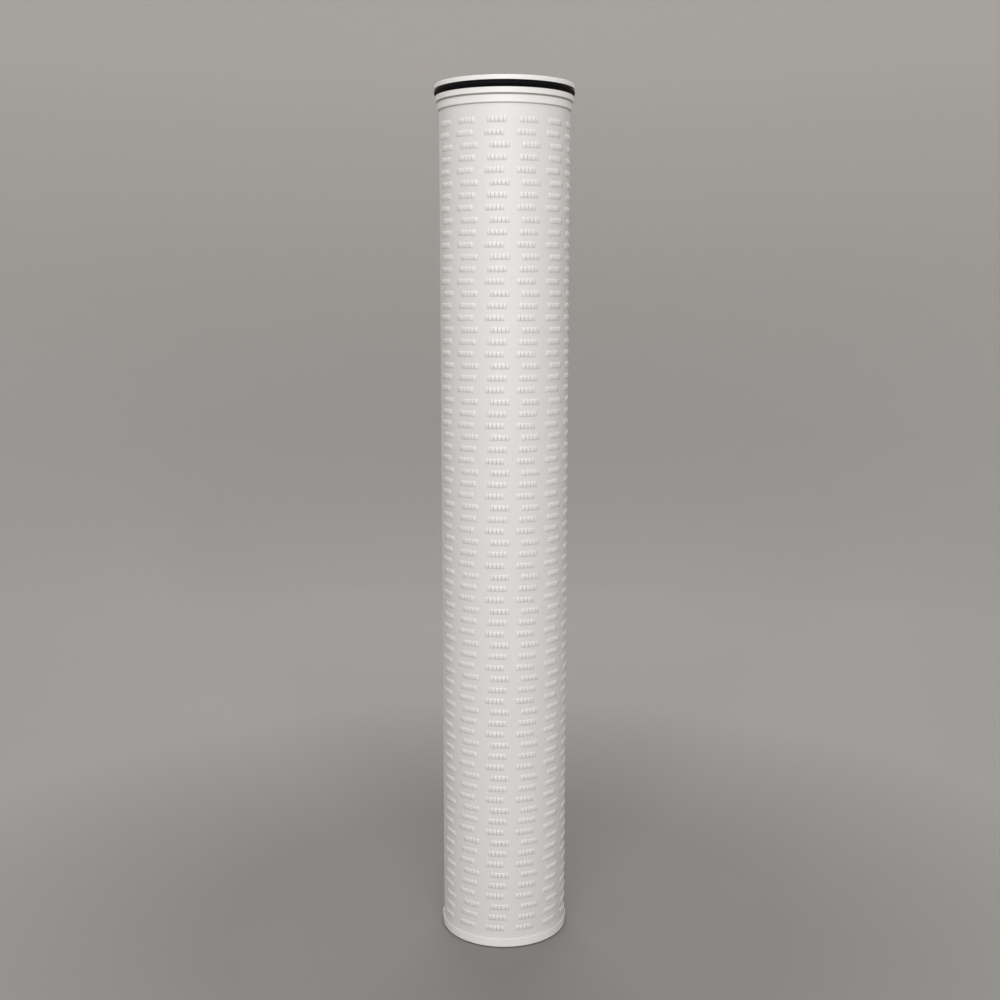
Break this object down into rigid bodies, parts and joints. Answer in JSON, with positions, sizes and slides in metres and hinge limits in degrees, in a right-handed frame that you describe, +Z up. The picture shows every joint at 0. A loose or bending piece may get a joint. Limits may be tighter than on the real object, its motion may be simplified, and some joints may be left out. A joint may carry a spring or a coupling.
{
  "type": "high flow filter cartridge",
  "caption": "Tall pleated filter cartridge with a closed foot cap, a slotted outer sleeve and an open end with two flanges, a seal ring and a handle across its mouth.",
  "frame": {"origin": "centre of the closed end cap's foot, on the surface it stands on", "axes": "+Z up the cartridge's axis to the open end, -Y towards the picture's camera, +X to its right along the handle"},
  "size_m": [0.1618, 0.1618, 1.016],
  "materials": {
    "white_moulding": "satin white polypropylene moulding",
    "white_sheet": "satin white embossed polypropylene sheet",
    "white_fleece": "white spunbonded polypropylene",
    "cream_media": "off-white meltblown polypropylene",
    "black_rubber": "black moulded rubber, slight sheen"
  },
  "bodies": {
    "root": {"closed_end_cap": "white_moulding", "outer_sleeve": "white_sheet", "inner_support_layer": "white_fleece", "filter_media": "cream_media", "outer_support_layer": "white_fleece", "open_end_cap": "white_moulding", "open_end_adapter": "white_moulding", "seal_ring": "black_rubber"}
  },
  "joints": []
}
